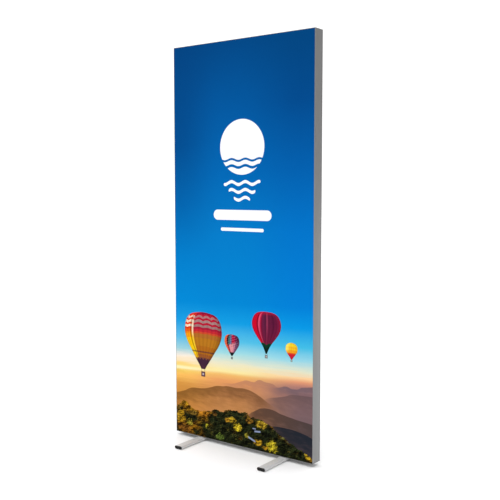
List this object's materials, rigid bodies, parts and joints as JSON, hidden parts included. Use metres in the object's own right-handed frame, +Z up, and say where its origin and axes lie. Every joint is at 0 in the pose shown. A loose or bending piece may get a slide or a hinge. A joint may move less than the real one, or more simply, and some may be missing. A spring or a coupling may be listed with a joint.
{
  "type": "free-standing fabric display frame",
  "caption": "Free-standing aluminium display frame with a stretched printed fabric front, on flat-oval feet that swivel and clamp under the bottom rail.",
  "frame": {"origin": "on the floor, under the centre of the frame: the middle of the bounding box's bottom", "axes": "+X along the frame to the right as seen from the front, -Y out of the printed front, +Z up; left and right in the names are as seen from the front"},
  "size_m": [0.85, 0.42, 2.0184],
  "materials": {
    "rail_aluminium": "satin anodised, extruded",
    "foot_aluminium": "pale satin anodised, extruded",
    "bracket_steel": "bright zinc-plated plate",
    "fastener_steel": "zinc plated",
    "brass_insert": "turned",
    "black_plastic": "fine moulded texture",
    "rubber": "matt",
    "silicone": "translucent, smooth",
    "printed_fabric": "fine polyester knit, dye-sublimation print"
  },
  "bodies": {
    "frame": {"top_rail": "rail_aluminium", "bottom_rail": "rail_aluminium", "left_upright": "rail_aluminium", "right_upright": "rail_aluminium", "top_left_bracket": "bracket_steel", "top_right_bracket": "bracket_steel", "bottom_right_bracket": "bracket_steel", "bottom_left_bracket": "bracket_steel", "top_left_rail_screw_near": "fastener_steel", "top_left_rail_screw_far": "fastener_steel", "top_left_upright_screw_near": "fastener_steel", "top_left_upright_screw_far": "fastener_steel", "top_right_rail_screw_near": "fastener_steel", "top_right_rail_screw_far": "fastener_steel", "top_right_upright_screw_near": "fastener_steel", "top_right_upright_screw_far": "fastener_steel", "bottom_right_rail_screw_near": "fastener_steel", "bottom_right_rail_screw_far": "fastener_steel", "bottom_right_upright_screw_near": "fastener_steel", "bottom_right_upright_screw_far": "fastener_steel", "bottom_left_rail_screw_near": "fastener_steel", "bottom_left_rail_screw_far": "fastener_steel", "bottom_left_upright_screw_near": "fastener_steel", "bottom_left_upright_screw_far": "fastener_steel", "anchor_screw_left_upper": "fastener_steel", "anchor_screw_left_lower": "fastener_steel", "anchor_screw_right_upper": "fastener_steel", "anchor_screw_right_lower": "fastener_steel", "crossbar": "rail_aluminium", "crossbar_anchor_left": "bracket_steel", "crossbar_anchor_right": "bracket_steel", "crossbar_screw_left": "fastener_steel", "crossbar_screw_right": "fastener_steel", "front_graphic": "printed_fabric", "edge_strip_top": "silicone", "edge_strip_bottom": "silicone", "edge_strip_left": "silicone", "edge_strip_right": "silicone"},
    "foot_left": {"foot_bar_left": "foot_aluminium", "foot_cap_front_left": "black_plastic", "foot_cap_rear_left": "black_plastic", "foot_pad_front_left": "rubber", "foot_pad_rear_left": "rubber", "foot_bolt_left": "fastener_steel", "swivel_disc_left": "black_plastic"},
    "washer_left": {"knob_washer_left": "fastener_steel"},
    "knob_left": {"clamp_knob_left": "black_plastic", "knob_insert_left": "brass_insert"},
    "foot_right": {"foot_bar_right": "foot_aluminium", "foot_cap_front_right": "black_plastic", "foot_cap_rear_right": "black_plastic", "foot_pad_front_right": "rubber", "foot_pad_rear_right": "rubber", "foot_bolt_right": "fastener_steel", "swivel_disc_right": "black_plastic"},
    "washer_right": {"knob_washer_right": "fastener_steel"},
    "knob_right": {"clamp_knob_right": "black_plastic", "knob_insert_right": "brass_insert"}
  },
  "joints": [
    {"name": "foot_left_swivel", "type": "hinge", "parent": "frame", "child": "foot_left", "pos_m": [-0.255, 0, 0.0168], "axis": [0, 0, 1], "range_deg": [-90, 90]},
    {"name": "knob_left_lift", "type": "slide", "parent": "frame", "child": "washer_left", "axis": [0, 0, 1], "range_m": [0, 0.00125]},
    {"name": "knob_left_turn", "type": "hinge", "parent": "washer_left", "child": "knob_left", "pos_m": [-0.255, 0, 0.0456], "axis": [0, 0, 1], "range_deg": [0, 360]},
    {"name": "foot_right_swivel", "type": "hinge", "parent": "frame", "child": "foot_right", "pos_m": [0.255, 0, 0.0168], "axis": [0, 0, 1], "range_deg": [-90, 90]},
    {"name": "knob_right_lift", "type": "slide", "parent": "frame", "child": "washer_right", "axis": [0, 0, 1], "range_m": [0, 0.00125]},
    {"name": "knob_right_turn", "type": "hinge", "parent": "washer_right", "child": "knob_right", "pos_m": [0.255, 0, 0.0456], "axis": [0, 0, 1], "range_deg": [0, 360]}
  ],
  "couplings": [
    {"joint": "knob_left_lift", "follows": "knob_left_turn", "m_per_rad": 0.0001989},
    {"joint": "knob_right_lift", "follows": "knob_right_turn", "m_per_rad": 0.0001989}
  ]
}
